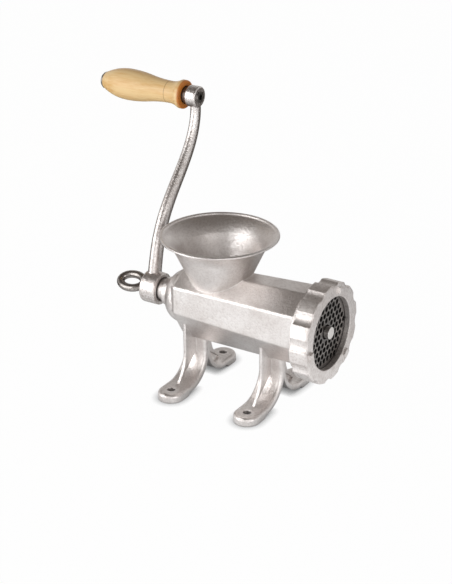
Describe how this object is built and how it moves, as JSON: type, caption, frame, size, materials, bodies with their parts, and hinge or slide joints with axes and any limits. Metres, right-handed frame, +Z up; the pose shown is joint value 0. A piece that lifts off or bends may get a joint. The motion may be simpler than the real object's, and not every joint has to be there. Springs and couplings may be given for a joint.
{
  "type": "hand crank meat grinder",
  "caption": "Bolt-down hand meat grinder: round flared hopper, faceted barrel on arched legs, notched ring nut over a drilled plate, S-shaped crank with a turned wooden grip.",
  "frame": {"origin": "centre of the four foot holes, on the table under the feet", "axes": "+X along the barrel towards the outlet, +Z up, +Y to the left of someone looking along +X"},
  "size_m": [0.2749, 0.1379, 0.2418],
  "materials": {
    "body_casting": "hot tinned casting, satin",
    "bearing_bush": "turned bronze",
    "plate_pin": "ground steel",
    "cutting_plate": "drilled and ground steel, dark",
    "ring_nut": "hot tinned casting, satin",
    "feed_screw": "hot tinned casting, satin",
    "thrust_washer": "moulded",
    "knife_stud": "turned steel, bright",
    "cross_knife": "ground steel",
    "crank_arm": "hot tinned casting, satin",
    "grip_spindle": "turned steel",
    "end_washer": "stamped steel",
    "spindle_washer": "stamped steel",
    "wooden_grip": "turned hardwood, clear lacquer",
    "thumb_screw": "hot tinned casting, satin"
  },
  "bodies": {
    "body": {"body_casting": "body_casting", "bearing_bush": "bearing_bush", "plate_pin": "plate_pin", "cutting_plate": "cutting_plate"},
    "crank": {"crank_arm": "crank_arm", "feed_screw": "feed_screw", "thrust_washer": "thrust_washer", "knife_stud": "knife_stud", "cross_knife": "cross_knife", "grip_spindle": "grip_spindle", "end_washer": "end_washer", "spindle_washer": "spindle_washer"},
    "grip": {"wooden_grip": "wooden_grip"},
    "ring": {"ring_nut": "ring_nut"},
    "screw": {"thumb_screw": "thumb_screw"}
  },
  "joints": [
    {"name": "crank_turn", "type": "hinge", "parent": "body", "child": "crank", "pos_m": [0, 0, 0.077], "axis": [1, 0, 0], "continuous": true},
    {"name": "grip_spin", "type": "hinge", "parent": "crank", "child": "grip", "pos_m": [-0.13, 0.072, 0.228], "axis": [1, 0, 0], "continuous": true},
    {"name": "ring_unscrew", "type": "hinge", "parent": "body", "child": "ring", "pos_m": [0.085, 0, 0.077], "axis": [1, 0, 0], "range_deg": [0, 1080]},
    {"name": "thumb_screw_unscrew", "type": "hinge", "parent": "crank", "child": "screw", "pos_m": [-0.1, 0, 0.077], "axis": [-1, 0, 0], "range_deg": [0, 1800]}
  ]
}
